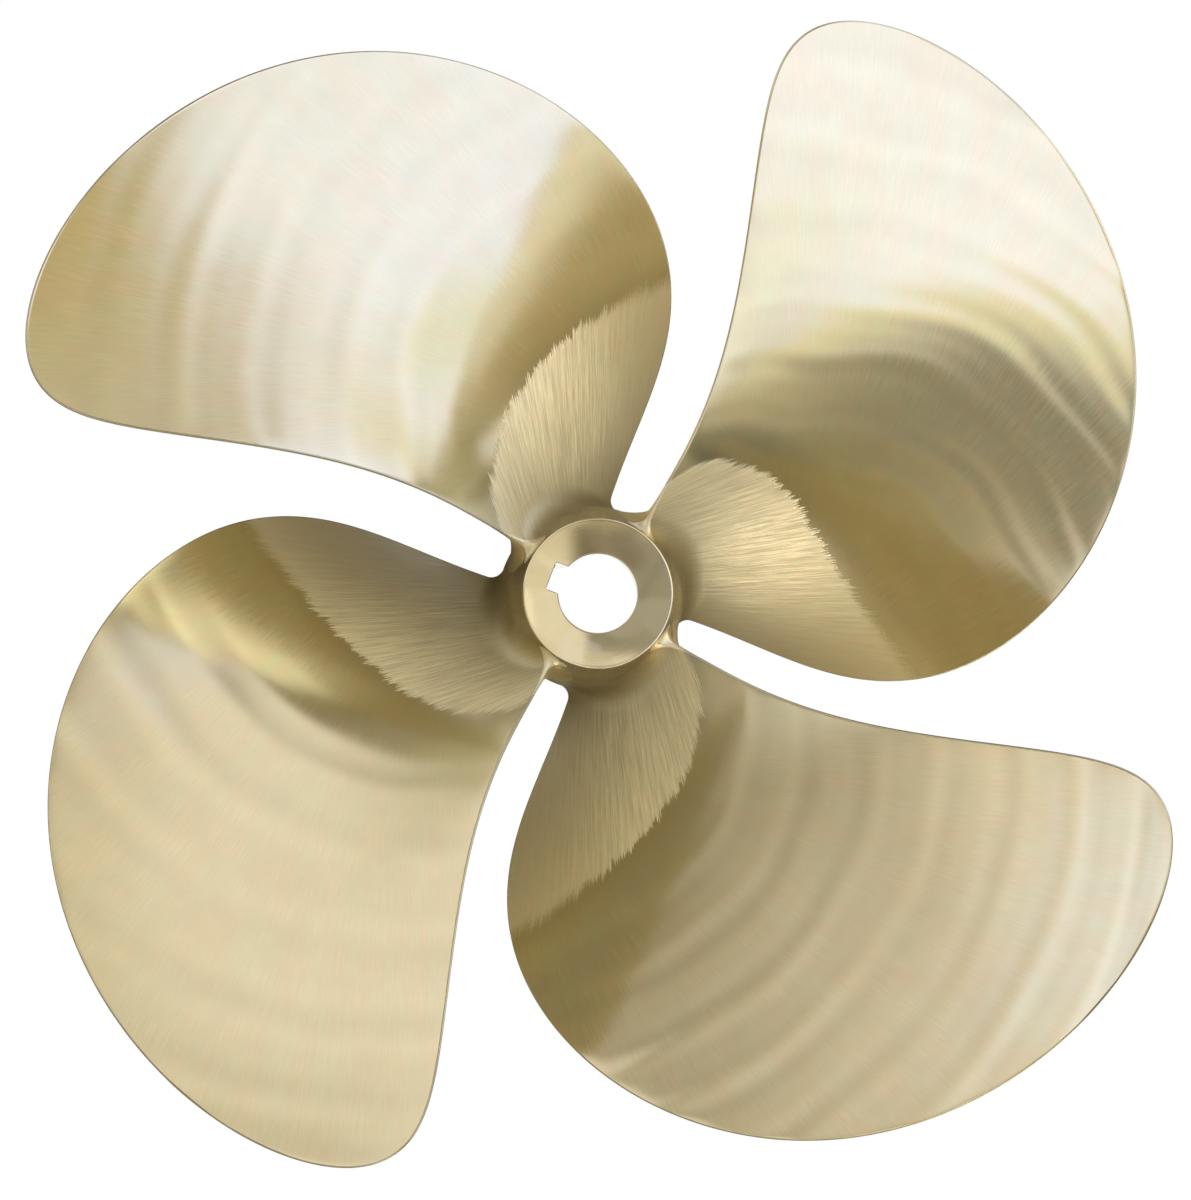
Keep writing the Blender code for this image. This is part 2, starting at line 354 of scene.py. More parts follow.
@dataclass(frozen=True)
class BladeForm:
    """Sizes of a blade, the same as the casting's: outline, helical face, thickness and fillets."""

    tip_radius: float = 0.450
    stations: tuple[float, ...] = (0.15, 0.35, 0.55, 0.75, 0.90, 1.00)
    half_spans: tuple[float, ...] = (37.1, 47.7, 59.2, 69.6, 81.6, 96.7)
    skews: tuple[float, ...] = (-1.1, -2.3, 2.5, 11.8, 20.6, 26.9)
    root_line: float = math.radians(135.0)
    tuck_angle: float = math.radians(7.0)
    tuck_reach: float = 0.013
    tip_bluntness: float = 0.0006
    pitch_ratio: float = 0.85
    pitch_ease: float = 0.30
    pitch_station: float = 0.70
    face_height: float = 0.0843
    rake: float = 0.07
    thickness_at_axis: float = 0.0405
    thickness_at_tip: float = 0.0032
    edge: float = 0.0026
    bulge_shift: float = 0.20
    bulge_fullness: float = 0.80
    fillet_face: float = 0.022
    fillet_edge: float = 0.010
    fillet_sink: float = 0.00004
    inner_radius: float = 0.0465
    hub_radius_aft: float = 0.0522
    hub_radius_forward: float = 0.0655
    heel: float = 0.0035
    heel_reach: float = 0.013
    heel_squareness: float = 3.6
    heel_power: int = 8

    def faired(self, values: tuple[float, ...], share: Array) -> Array:
        """The polynomial through the values at the stations, read at other shares of the radius."""
        return np.polyval(np.polyfit(self.stations, values, len(values) - 1), share)

    def advance(self, r: Array) -> Array:
        """The helix's climb for each radian: the pitch, eased off away from its main station."""
        ease = self.pitch_ease * (r / self.tip_radius - self.pitch_station) ** 2
        return 2 * self.tip_radius * (self.pitch_ratio - ease) / (2 * math.pi)

    def half_span(self, r: Array) -> Array:
        """Half the angle that the blade spans; a square root rounds it off just short of the tip."""
        inset = self.tip_radius - self.edge / 2
        close = np.maximum(1 - r / inset, 0.0) + self.tip_bluntness
        return np.radians(self.faired(self.half_spans, r / self.tip_radius)) * np.sqrt(close)

    def middle(self, r: Array) -> Array:
        """The angle of the middle of the blade."""
        return self.root_line + np.radians(self.faired(self.skews, r / self.tip_radius))

    def thickness(self, r: Array, s: Array) -> Array:
        """The section's thickness: a shifted parabola, filled out, on top of the edge's thickness."""
        drop = (self.thickness_at_tip - self.thickness_at_axis) * r / self.tip_radius
        full = self.thickness_at_axis + drop
        shifted = s + self.bulge_shift * (1 - s**2)
        return self.edge + (full - self.edge) * np.maximum(1 - shifted**2, 0.0) ** self.bulge_fullness

    def heel_near(self, r: Array) -> Array:
        """Share of the heel at a radius: 1 at the hub, falling off with the square of the distance."""
        return np.exp(-(np.maximum(r - self.hub_radius_aft, 0.0) / self.heel_reach) ** 2)

    def heel_swell(self, r: Array, s: Array) -> Array:
        """How far each face swells out at the trailing edge's heel, with a high power of the place."""
        return self.heel / 2 * self.heel_near(r) * np.maximum(s, 0.0) ** self.heel_power

    def fillet(self, s: Array) -> Array:
        """The fillet's size, from the edges' to the faces' with the square of the chord place."""
        return self.fillet_edge + (self.fillet_face - self.fillet_edge) * (1 - s**2)

    def place(self, r: Array, s: Array, run: Array, rise: Array) -> Array:
        """A point of the section at radius r, wrapped on its cylinder along the helix.

        Args:
            r: Radii.
            s: Places along the chord, -1 at the leading edge and 1 at the trailing edge.
            run: Extra distance along the helix.
            rise: Distance out of the pressure face.

        Returns:
            Points, with the arrays' shape and 3.
        """
        climb = self.advance(r)
        slant = np.hypot(r, climb)
        near_hub = np.exp(-np.maximum(r - self.hub_radius_aft, 0.0) / self.tuck_reach)
        tuck = self.tuck_angle * near_hub * np.maximum(s, 0.0) ** 2
        run = (self.half_span(r) * s - tuck) * slant + run
        middle = self.middle(r)
        angle = middle + (run * r - rise * climb) / slant / r
        start = self.face_height + self.rake * (r - self.hub_radius_forward)
        height = start + climb * (middle - self.root_line) + (run * climb + rise * r) / slant
        return np.stack([r * np.cos(angle), r * np.sin(angle), height], axis=-1)


@dataclass(frozen=True)
class Grinding:
    """How one blade's faces were ground: passes that leave low ripples, and a brushed root.

    A pass follows r + sweep * angle = constant, so it falls towards the hub from the leading edge
    to the trailing edge. Strokes run across the passes.

    Args:
        sweep: How far a pass falls for each radian.
        spacing: Distance between two passes.
        phase: Radius of one ridge on the root line.
        height: Full depth of the ripples.
        sway: How far the passes sway from their line.
        spread: How much further apart they lie for each radian towards the trailing edge.
        banding: How strongly painted light and shade bands brighten and darken the colour along the
            ripples.
        band_edge: How much more they do so at the leading edge.
        zone: Where the ripples are full: from the first angle to the second, and up to a distance.
        edge_shade: Brightness of the round edge, a painted shade that darkens it.
        root_border: Radius of the brushed root's border at each of the border angles.
        fan_turn: Direction in which the root's strokes fan out, in radians.
        fan_apex: How far behind the shaft they start.
    """

    # In degrees from the root line, and the angles between which the border is read, in radians
    BORDER_ANGLES: ClassVar[tuple[float, ...]] = (-36.0, -12.0, 12.0, 30.0)
    BORDER_READ: ClassVar[tuple[float, float]] = (-0.95, 0.65)
    # The strokes' maps are laid out at these radii
    PASS_RADIUS: ClassVar[float] = 0.3
    FAN_RADIUS: ClassVar[float] = 0.35
    LEAST_RADIUS: ClassVar[float] = 0.04
    # Ripples and their painted bands of light and shade set in between these distances outside the brushed
    # root
    RELIEF_START: ClassVar[tuple[float, float]] = (0.006, 0.080)
    BANDS_START: ClassVar[tuple[float, float]] = (0.006, 0.060)
    # Outside their zone the ripples keep this share
    OUTSIDE_ZONE: ClassVar[float] = 0.3
    ZONE_FADE: ClassVar[float] = 0.05

    sweep: float
    spacing: float
    phase: float
    height: float
    sway: float
    banding: float
    root_border: tuple[float, ...]
    spread: float = 0.0
    band_edge: float = 0.0
    zone: tuple[float, float, float] = (-2.0, -1.9, 1.0)
    edge_shade: float = 0.62
    fan_turn: float = math.radians(-24)
    fan_apex: float = 0.10

    def passes(self, r: Array, angle: Array) -> tuple[Array, Array]:
        """Orthogonal coordinates of the grinding: (across the strokes, along them), in metres."""
        across = self.PASS_RADIUS * (angle + self.sweep / np.maximum(r, self.LEAST_RADIUS))
        return across, r + self.sweep * angle

    def fan(self, r: Array, angle: Array) -> tuple[Array, Array]:
        """The root's brush strokes: (angle about a point behind the hub, distance from it)."""
        x = r * np.cos(angle - self.fan_turn) + self.fan_apex
        y = r * np.sin(angle - self.fan_turn)
        return self.FAN_RADIUS * np.arctan2(y, x), np.hypot(x, y)

    def beyond_root(self, r: Array, angle: Array) -> Array:
        """How far a point lies outside the brushed root.

        The border's radius is the cubic through its values at four angles from the root line.
        """
        cubic = np.polyfit(np.radians(self.BORDER_ANGLES), self.root_border, 3)
        return r - np.polyval(cubic, np.clip(angle, *self.BORDER_READ))

    def wave(self, r: Array, angle: Array) -> Array:
        """Where a point lies in the ripples: two cosines across the passes, from -1.45 to 1.45.

        The passes sway slowly, and lie further apart towards the trailing edge by the spread. The
        second, weaker cosine has an uneven step, so that no two passes are alike. A slow sine makes
        them patchy, and outside their zone they fade to a share.
        """
        across, along = self.passes(r, angle)
        turned = across / self.PASS_RADIUS
        sway = self.sway * (np.sin(turned * 5.0 + 1.3) + 0.4 * np.sin(turned * 13.0 + along * 40.0))
        turns = 2 * math.pi * (along + sway - self.phase) * (1 - self.spread * angle) / self.spacing
        patchy = 0.75 + 0.25 * np.sin(turned * 3.0 + along * 22.0 + 0.4)
        start, full, end = self.zone
        inside = smooth_step(start, full, angle) * smooth_step(end + self.ZONE_FADE, end, along)
        patchy = patchy * (self.OUTSIDE_ZONE + (1 - self.OUTSIDE_ZONE) * inside)
        return (np.cos(turns) + 0.45 * np.cos(turns * 1.72 + 1.1)) * patchy

    def relief(self, r: Array, angle: Array, s: Array) -> Array:
        """Depth of the ripples, which start well outside the brushed root and fade at the edges."""
        shown = smooth_step(*self.RELIEF_START, self.beyond_root(r, angle))
        return -self.height * (0.5 - 0.34 * self.wave(r, angle)) * shown * (1 - s**30)

    def sheen(self, r: Array, angle: Array) -> Array:
        """Painted light and shade: bands along the ripples, stronger towards the leading edge."""
        shown = smooth_step(*self.BANDS_START, self.beyond_root(r, angle))
        lead = 1 + self.band_edge * smooth_step(0.25, -0.75, angle)
        return 1 + self.banding * lead * (self.wave(r, angle) - 0.3) * shown

    def brushed(self, angle: Array, above: Array) -> Array:
        """How clearly the root's strokes show: less near the leading edge and next to the hub."""
        return (0.15 + 0.85 * smooth_step(-0.70, -0.28, angle)) * smooth_step(-0.004, 0.030, above)


@dataclass
class Blade:
    """One blade: two ground faces, a round edge all the way along, and fillets into the hub.

    Args:
        name: The piece's name.
        turn: Angle about the shaft from the first blade, in radians.
        form: The blade's sizes.
        hub: The hub's sizes.
        grinding: How its faces were ground.
        edge_calm: Power of the chord place with which the push turns straight up.
        heel_highlight: A painted highlight on the round edge at the hub, reached between two radii.
        edge_hub_shade: Share of the painted shade next to the hub that the round edge gets.
        hub_shade_height: How far above the hub the painted shade ends.
    """

    name: str
    turn: float
    form: BladeForm
    hub: HubForm
    grinding: Grinding
    columns: int = 132
    fillet_rows: int = 24
    plain_rows: int = 170
    edge_steps: int = 10
    edge_calm: int = 24
    heel_highlight: float = 1.15
    heel_highlight_reach: tuple[float, float] = (0.085, 0.058)
    edge_hub_shade: float = 0.15
    hub_shade_height: float = 0.016
    sharp: float = math.radians(40)

    def offsets(self, s: Array, side: int, offset: Array, r: Array) -> Array:
        """Points of one face, pushed out of the section by the offset.

        The push is square to the section's outline, found from its steps along the chord. It turns
        straight up from the chord at the edges, with a high power of the chord place.

        Args:
            s: Places along the chord, rows by columns.
            side: 1 for the pressure face, -1 for the suction face.
            offset: How far to push, of the same shape.
            r: Radii, of the same shape.

        Returns:
            The points.
        """
        rise = np.zeros_like(s) if side > 0 else -self.form.thickness(r, s)
        rise = rise + side * self.form.heel_swell(r, s)
        slant = np.hypot(r, self.form.advance(r))
        step_run = np.gradient(self.form.half_span(r) * s * slant, axis=1)
        step_rise = np.gradient(rise, axis=1) * (1 - s**self.edge_calm)
        length = np.hypot(step_run, step_rise)
        run = -side * offset * step_rise / length
        return self.form.place(r, s, run, rise + side * offset * step_run / length)

    def shell(self, z: Array, lift: Array) -> Array:
        """The radius of a surface that lies above the hub by the lift."""
        return self.hub.radius(z) + lift

    def face(self, side: int) -> Array:
        """One face from inside the hub to the tip, rows by columns.

        The fillet is a quarter turn: at turn a, the face is pushed out by size * (1 - sin a) and
        stands size * (1 - cos a) above the hub. Beyond it the rows run out to the tip, closing up
        with the square of what is left, as the outline does.

        Args:
            side: 1 for the pressure face, -1 for the suction face.

        Returns:
            The face's points.
        """
        s = -np.cos(np.linspace(0, math.pi, self.columns))[None]
        size = self.form.fillet(s)
        turn = np.radians(np.linspace(0, 90, self.fillet_rows))[:, None]
        rows = np.broadcast_to(s, (self.fillet_rows, self.columns))
        offset = size * (1 - np.sin(turn))
        lift = size * (1 - np.cos(turn)) - self.form.fillet_sink
        r = np.broadcast_to(self.hub.radius_forward + lift, rows.shape)
        # The radius and the height depend on each other, and four rounds settle them
        for _ in range(4):
            r = self.shell(self.offsets(rows, side, offset, r)[..., 2], lift)
        fillet = self.offsets(rows, side, offset, r)
        inside = self.offsets(s, side, size, np.full_like(s, self.form.inner_radius))
        left = (1 - np.linspace(0, 1, self.plain_rows)[1:, None]) ** 2
        end = self.form.tip_radius - self.form.edge / 2
        r = end + (r[-1:] - end) * left
        rows = np.broadcast_to(s, r.shape)
        plain = self.offsets(rows, side, np.zeros_like(r), r)
        return np.concatenate([inside, fillet, plain])

    def ground(self, points: Array, side: int) -> Array:
        """The face with its ripples: each point sinks along the face's normal by the relief."""
        r, angle = self.polar(points)
        s = np.broadcast_to(-np.cos(np.linspace(0, math.pi, self.columns))[None], r.shape)
        normal = grid_normals(points)
        normal = normal * np.sign(np.median(normal[..., 2]) * side)
        return points + normal * self.grinding.relief(r, angle, s)[..., None]

    def polar(self, points: Array) -> tuple[Array, Array]:
        """Radius, and angle from the blade's root line."""
        angle = np.arctan2(points[..., 1], points[..., 0]) - self.form.root_line
        return np.hypot(points[..., 0], points[..., 1]), (angle + math.pi) % (2 * math.pi) - math.pi

    def rim(self, pressure: Array, suction: Array) -> Array:
        """The round edge: half circles carried along the outline, from one face to the other.

        At each place the circle's middle is half way between the two faces' borders, and it bulges
        along the cross product of the outline's step and the line between the faces. Near the hub
        the circle grows into the fillet and is laid on the fillet's shell. At the trailing edge's
        heel it is squared off: the sine and the cosine go to a power below 1.

        Args:
            pressure: The pressure face's points.
            suction: The suction face's points.

        Returns:
            Places along the outline by steps round the edge, by 3.
        """
        border = [np.concatenate([f[:, 0], f[-1, 1:-1], f[::-1, -1]]) for f in (pressure, suction)]
        centre, half = (border[0] + border[1]) / 2, (border[0] - border[1]) / 2
        step = np.gradient(centre, axis=0)
        last = self.fillet_rows + 1
        step[:last], step[-last:] = step[last], step[-last - 1]
        out = np.cross(step, half)
        out = unit(out) * np.sign(np.sum(out * (centre - centre.mean(axis=0)), axis=-1, keepdims=True))
        out = unit(out - unit(half) * np.sum(out * unit(half), axis=-1, keepdims=True))
        turn = np.linspace(0, math.pi, self.edge_steps + 1)[None, :, None]
        size = np.linalg.norm(half, axis=-1)[:, None, None]
        near = self.form.heel_near(np.hypot(centre[:, 0], centre[:, 1]))
        near[: len(near) // 2] = 0.0
        power = (2 / (2 + (self.form.heel_squareness - 2) * near))[:, None, None]
        across = np.sign(np.cos(turn)) * np.abs(np.cos(turn)) ** power
        bulge = np.maximum(np.sin(turn), 0.0) ** power
        points = centre[:, None] + half[:, None] * across + out[:, None] * size * bulge
        return self.laid(points, last)

    def laid(self, points: Array, last: int) -> Array:
        """The rim's ends near the hub, moved to the radius of the fillet's shell."""
        angle = np.radians(np.linspace(0, 90, self.fillet_rows))[:, None]
        lift = self.form.fillet_edge * (1 - np.cos(angle)) - self.form.fillet_sink
        for end in (points[1:last], points[::-1][1:last]):
            wanted = self.shell(end[..., 2], lift)
            end[..., :2] *= (wanted / np.hypot(end[..., 0], end[..., 1]))[..., None]
        for end in (points[0], points[-1]):
            end[..., :2] *= (self.form.inner_radius / np.hypot(end[..., 0], end[..., 1]))[..., None]
        return points

    def build(self, finishes: list[Material]) -> Piece:
        """The blade as one closed skin: two faces, the rim, and a cap inside the hub."""
        pressure, suction = (self.face(side) for side in (1, -1))
        rim = self.rim(pressure, suction)
        pressure, suction = self.ground(pressure, 1), self.ground(suction, -1)
        loop = np.concatenate([pressure[0], rim[-1], suction[0, ::-1], rim[0, ::-1]])
        cap = np.stack([loop, np.broadcast_to(loop.mean(axis=0), loop.shape)])
        sheets = [self.sheet(points) for points in (pressure, suction, rim, cap)]
        edge = sheets[2].values
        # The round edge: painted shade along it, a painted highlight at the heel, and less of the painted
        # shade next to the hub
        edge["sheen"] = self.edge_painted_light(np.hypot(rim[..., 0], rim[..., 1]))
        edge["hollow"] = self.edge_hub_shade * edge["hollow"]
        return Piece(self.name, sheets, finishes, self.sharp)

    def edge_painted_light(self, r: Array) -> Array:
        """How bright the round edge is: painted shade all along, and a painted highlight at the hub."""
        tone = self.grinding.edge_shade
        return tone + (self.heel_highlight - tone) * smooth_step(*self.heel_highlight_reach, r)

    def sheet(self, points: Array) -> Sheet:
        """A grid turned to the blade's place, with the places that its finish reads."""
        r, angle = self.polar(points)
        cos, sin = math.cos(self.turn), math.sin(self.turn)
        turned = points @ np.array([[cos, sin, 0], [-sin, cos, 0], [0, 0, 1]])
        maps = {"passes": np.stack(self.grinding.passes(r, angle), axis=-1),
                "fan": np.stack(self.grinding.fan(r, angle), axis=-1)}
        above = r - self.hub.radius(points[..., 2])
        values = {"beyond_root": self.grinding.beyond_root(r, angle),
                  # Painted shade next to the hub, fading out with the height above it
                  "hollow": 1 - smooth_step(0.0, self.hub_shade_height, above),
                  # Painted light and shade in bands along the ripples
                  "sheen": self.grinding.sheen(r, angle),
                  "brushed": self.grinding.brushed(angle, above)}
        return Sheet(turned, maps, values)


# Finishes


class Nodes:
    """Makes the nodes of a material or of the world with short calls."""

    def __init__(self, holder: Material | bpy.types.World) -> None:
        """Starts on the nodes of a new material or world."""
        self.material = holder
        holder.use_nodes = True
        self.tree = holder.node_tree

    @property
    def shader(self) -> bpy.types.Node:
        """The material's principled shader."""
        return self.tree.nodes["Principled BSDF"]

    def add(self, kind: str, inputs: dict | None = None, **settings: str) -> bpy.types.Node:
        """A node.

        Args:
            kind: The node's type, without ShaderNode.
            inputs: What goes into its sockets, by name or number: a number, a colour or a socket.
            settings: Its properties.

        Returns:
            The node.
        """
        node = self.tree.nodes.new("ShaderNode" + kind)
        for key, value in settings.items():
            setattr(node, key, value)
        for key, value in (inputs or {}).items():
            self.feed(node.inputs[key], value)
        return node

    def feed(self, socket: Socket, value: Feed) -> None:
        """Links a socket, or sets its value."""
        if isinstance(value, Socket):
            self.tree.links.new(value, socket)
        else:
            socket.default_value = value

    def dress(self, sockets: dict) -> None:
        """Feeds the shader's sockets, by name."""
        for name, value in sockets.items():
            self.feed(self.shader.inputs[name], value)

    def math(self, operation: str, *values: Feed) -> Socket:
        """The result of a Math node."""
        return self.add("Math", dict(enumerate(values)), operation=operation).outputs[0]

    def scaled(self, vector: Socket, by: tuple[float, float, float]) -> Socket:
        """The vector, each part multiplied by its own factor."""
        return self.add("VectorMath", {0: vector, 1: by}, operation="MULTIPLY").outputs[0]

    def noise(self, vector: Socket, detail: float, roughness: float = 0.5) -> Socket:
        """Cloudy noise, about one blot to a unit."""
        inputs = {"Vector": vector, "Scale": 1.0, "Detail": detail, "Roughness": roughness}
        return self.add("TexNoise", inputs).outputs["Fac"]

    def between(self, share: Feed, low: float, high: float) -> Socket:
        """Maps 0 to 1 onto low to high."""
        inputs = {"Value": share, "To Min": low, "To Max": high}
        return self.add("MapRange", inputs).outputs[0]

    def step(self, value: Feed, low: float, high: float) -> Socket:
        """Runs smoothly from 0 at low to 1 at high."""
        inputs = {"Value": value, "From Min": low, "From Max": high}
        return self.add("MapRange", inputs, interpolation_type="SMOOTHSTEP").outputs[0]

    def mix(self, share: Feed, first: Feed, second: Feed) -> Socket:
        """Two colours, mixed."""
        return self.add("Mix", {0: share, 6: first, 7: second}, data_type="RGBA").outputs[2]

    def blend(self, share: Feed, first: Feed, second: Feed) -> Socket:
        """Two numbers, mixed."""
        return self.add("Mix", {0: share, 2: first, 3: second}, data_type="FLOAT").outputs[0]

    def ramp(self, share: Feed, stops: tuple[tuple[float, Colour], ...], reach: float) -> Socket:
        """A colour that runs through the stops.

        Args:
            share: Where to read it, from 0 to 1.
            stops: Places and colours, in order.
            reach: The place that a share of 1 stands for.

        Returns:
            The colour.
        """
        node = self.add("ValToRGB", {"Fac": share})
        elements = node.color_ramp.elements
        for index, (at, colour) in enumerate(stops):
            stop = elements[index] if index < 2 else elements.new(at / reach)
            stop.position, stop.color = at / reach, (*colour, 1.0)
        return node.outputs["Color"]

    def bump(self, height: Feed, distance: float) -> Socket:
        """A normal tipped by the slope of a height."""
        inputs = {"Height": height, "Distance": distance, "Strength": 1.0}
        return self.add("Bump", inputs).outputs[0]

    def tangent(self, name: str) -> Socket:
        """The direction of a UV map's first axis."""
        return self.add("Tangent", direction_type="UV_MAP", uv_map=name).outputs[0]

    def uv(self, name: str) -> Socket:
        """A UV map of the piece."""
        return self.add("UVMap", uv_map=name).outputs[0]

    def value(self, name: str) -> Socket:
        """A number that the piece carries at each point."""
        return self.add("Attribute", attribute_name=name).outputs["Fac"]

    def turned_parts(self, vector: Socket) -> bpy.types.bpy_prop_collection:
        """A vector's X, Y and Z in the photograph's axes."""
        turn = {0: vector, "Angle": -PHOTO_TURN}
        turned = self.add("VectorRotate", turn, rotation_type="Z_AXIS").outputs[0]
        return self.add("SeparateXYZ", {0: turned}).outputs

    def place(self) -> Socket:
        """The piece's own Object coordinates."""
        return self.add("TexCoord").outputs["Object"]


@dataclass(frozen=True)
class GroundBronze:
    """Hand-ground bronze: fine strokes and faint mottling, and a coarsely brushed root.

    Args:
        hollow: A dark colour, painted shade next to the hub and all over its barrel.
        root_painted_light: Painted light and shade by distance outside the root's border;
            border_painted_shade is the ground face's.
        mottle: Blots to a metre.
        ragged: How far the root's border strays, for its fine and its broad teeth.
        even: Brightness of the root where no stroke shows; streaks is the range where they do.
        relief: Depth of the fine strokes, as a share of the root's.
    """

    # Brightness is laid out this far to each side of the root's border
    SHADE_REACH: ClassVar[float] = 0.1

    name: str = "ground_bronze"
    colour: Colour = (0.80, 0.70, 0.48)
    hollow: Colour = (0.42, 0.33, 0.15)
    roughness: float = 0.14
    root_roughness: float = 0.42
    anisotropy: float = 0.3
    stroke_depth: float = 0.00022
    # Painted light brightest along the root's border, painted shade deeper in towards the hub and just
    # outside it
    root_painted_light: tuple[tuple[float, float], ...] = (
        (-0.100, 0.86), (-0.060, 0.98), (-0.028, 1.12), (-0.010, 1.20), (0.020, 1.22))
    border_painted_shade: tuple[tuple[float, float], ...] = (
        (-0.020, 0.76), (0.006, 0.78), (0.018, 0.90), (0.036, 1.00))
    mottle: float = 38
    ragged: tuple[float, float] = (0.008, 0.006)
    even: float = 0.82
    streaks: tuple[float, float] = (0.76, 1.08)
    relief: float = 0.05

    def material(self) -> Material:
        """The finish as nodes, read from the blade's maps of passes and strokes."""
        n = Nodes(bpy.data.materials.new(self.name))
        passes, fan = n.uv("passes"), n.uv("fan")
        cloud = n.noise(n.scaled(n.place(), (self.mottle,) * 3), 3.0)
        beyond = n.value("beyond_root")
        brushed = n.value("brushed")
        teeth, bays = self.ragged
        ragged = n.math("ADD", n.between(n.noise(n.scaled(fan, (950, 22, 1)), 2.0), -teeth, teeth),
                        n.between(n.noise(n.scaled(fan, (130, 22, 1)), 1.0), -bays, bays))
        border = n.math("DIVIDE", n.math("ADD", beyond, ragged), n.between(brushed, 5.0, 1.0))
        root = n.math("SUBTRACT", 1.0, n.step(border, -0.0024, 0.0024))
        strokes = n.math("ADD", n.noise(n.scaled(fan, (900, 30, 1)), 3.0, 0.65),
                         n.between(n.noise(n.scaled(fan, (300, 12, 1)), 1.0), -0.15, 0.15))
        fine = n.noise(n.scaled(passes, (800, 40, 1)), 2.0)
        # Painted shade: the colour turns to the dark one next to the hub, patchy with the mottling
        hollow = n.math("MULTIPLY", n.value("hollow"), n.between(cloud, 0.5, 1.3))
        tint = n.noise(n.scaled(passes, (70, 16, 1)), 2.0)
        red, green, blue = self.colour
        warm = (red * 1.01, green * 0.97, blue * 0.92, 1)
        cool = (red * 0.98, green * 0.995, blue * 0.95, 1)
        base = n.mix(n.step(tint, 0.35, 0.65), warm, cool)
        base = n.mix(hollow, base, (*self.hollow, 1))
        # Painted light and shade by the distance from the root's border
        shade = self.by_distance(n, beyond, self.root_painted_light)
        outside = self.by_distance(n, beyond, self.border_painted_shade)
        streaked = n.between(n.step(strokes, 0.30, 0.70), *self.streaks)
        streaked = n.math("MULTIPLY", shade, n.blend(brushed, self.even, streaked))
        plain = n.math("MULTIPLY", n.between(n.math("MULTIPLY", cloud, fine), 0.91, 1.15), outside)
        # The colour is scaled by painted light and shade: bands along the ripples, and the round edge's
        # shade and heel highlight
        tone = n.math("MULTIPLY", n.blend(root, plain, streaked), n.value("sheen"))
        colour = n.add("VectorMath", {0: base, "Scale": tone}, operation="SCALE").outputs[0]
        smooth = n.between(fine, self.roughness - 0.04, self.roughness + 0.04)
        coarse = n.between(strokes, self.root_roughness + 0.16, self.root_roughness - 0.16)
        relief = n.blend(root, n.math("MULTIPLY", fine, self.relief), n.math("MULTIPLY", strokes, brushed))
        n.dress({"Base Color": colour, "Metallic": 1.0, "Roughness": n.blend(root, smooth, coarse),
                 "Anisotropic": self.anisotropy, "Tangent": n.tangent("passes"),
                 "Normal": n.bump(relief, self.stroke_depth)})
        return n.material

    def by_distance(self, n: Nodes, beyond: Socket, stops: tuple[tuple[float, float], ...]) -> Socket:
        """A brightness that runs through the stops, by the distance outside the brushed root."""
        depth = n.math("DIVIDE", n.math("ADD", beyond, self.SHADE_REACH), 2 * self.SHADE_REACH)
        greys = tuple((at + self.SHADE_REACH, (by, by, by)) for at, by in stops)
        return n.ramp(depth, greys, 2 * self.SHADE_REACH)


@dataclass(frozen=True)
class TurnedBronze:
    """Bronze off the lathe, with the cutter's fine rings."""

    name: str = "turned_bronze"
    colour: Colour = (0.80, 0.70, 0.48)
    roughness: float = 0.08
    anisotropy: float = 0.5
    ring_depth: float = 0.00001
    mottle: float = 90

    def material(self) -> Material:
        """The finish as nodes, read from the hub's map of turning."""
        n = Nodes(bpy.data.materials.new(self.name))
        turning = n.uv("turning")
        rings = n.noise(n.scaled(turning, (2600, 30, 1)), 2.0)
        cloud = n.noise(n.scaled(n.place(), (self.mottle,) * 3), 2.0)
        red, green, blue = self.colour
        dull = (red * 0.93, green * 0.92, blue * 0.86, 1)
        rough = n.between(rings, self.roughness - 0.03, self.roughness + 0.03)
        n.dress({"Base Color": n.mix(cloud, (red, green, blue, 1), dull), "Metallic": 1.0,
                 "Roughness": rough, "Anisotropic": self.anisotropy, "Tangent": n.tangent("turning"),
                 "Normal": n.bump(rings, self.ring_depth)})
        return n.material


# Studio


@dataclass(frozen=True)
class SoftBox:
    """A soft-edged patch of light on a flat chart, in the photograph's axes.

    The dome's chart is degrees off the shaft, to the right and up. The ground's chart is degrees
    round the shaft, and the distance from it as 20 steps for each doubling from 0.1 m.

    Args:
        middle: The patch's middle on the chart.
        half: Half its width and half its height.
        roll: Its turn on the chart, in degrees.
        soft: Width of its soft edge, across its width and its height.
        light: Its light, where 1 is the white of the ground.
    """

    middle: tuple[float, float]
    half: tuple[float, float]
    roll: float
    soft: tuple[float, float]
    light: Colour

    def shine(self, n: Nodes, right: Socket, up: Socket, under: Socket) -> Socket:
        """Lays the patch over the light that is there.

        Args:
            n: The nodes of the dome or the ground.
            right: The place on the chart, to the right.
            up: The place on the chart, up.
            under: The light so far.

        Returns:
            The light with the patch on it.
        """
        cos, sin = math.cos(math.radians(self.roll)), math.sin(math.radians(self.roll))
        right = n.math("SUBTRACT", right, self.middle[0])
        up = n.math("SUBTRACT", up, self.middle[1])
        across = n.math("ADD", n.math("MULTIPLY", right, cos), n.math("MULTIPLY", up, sin))
        along = n.math("SUBTRACT", n.math("MULTIPLY", up, cos), n.math("MULTIPLY", right, sin))
        shares = [
            n.step(n.math("ABSOLUTE", place), half + soft / 2, half - soft / 2)
            for place, half, soft in zip((across, along), self.half, self.soft)
        ]
        return n.mix(n.math("MULTIPLY", *shares), under, (*self.light, 1.0))


def soft_boxes(*rows: tuple[float, ...]) -> tuple[SoftBox, ...]:
    """Soft boxes from rows of ten numbers: middle, half, roll, soft edge and light."""
    return tuple(SoftBox(row[:2], row[2:4], row[4], row[5:7], row[7:]) for row in rows)


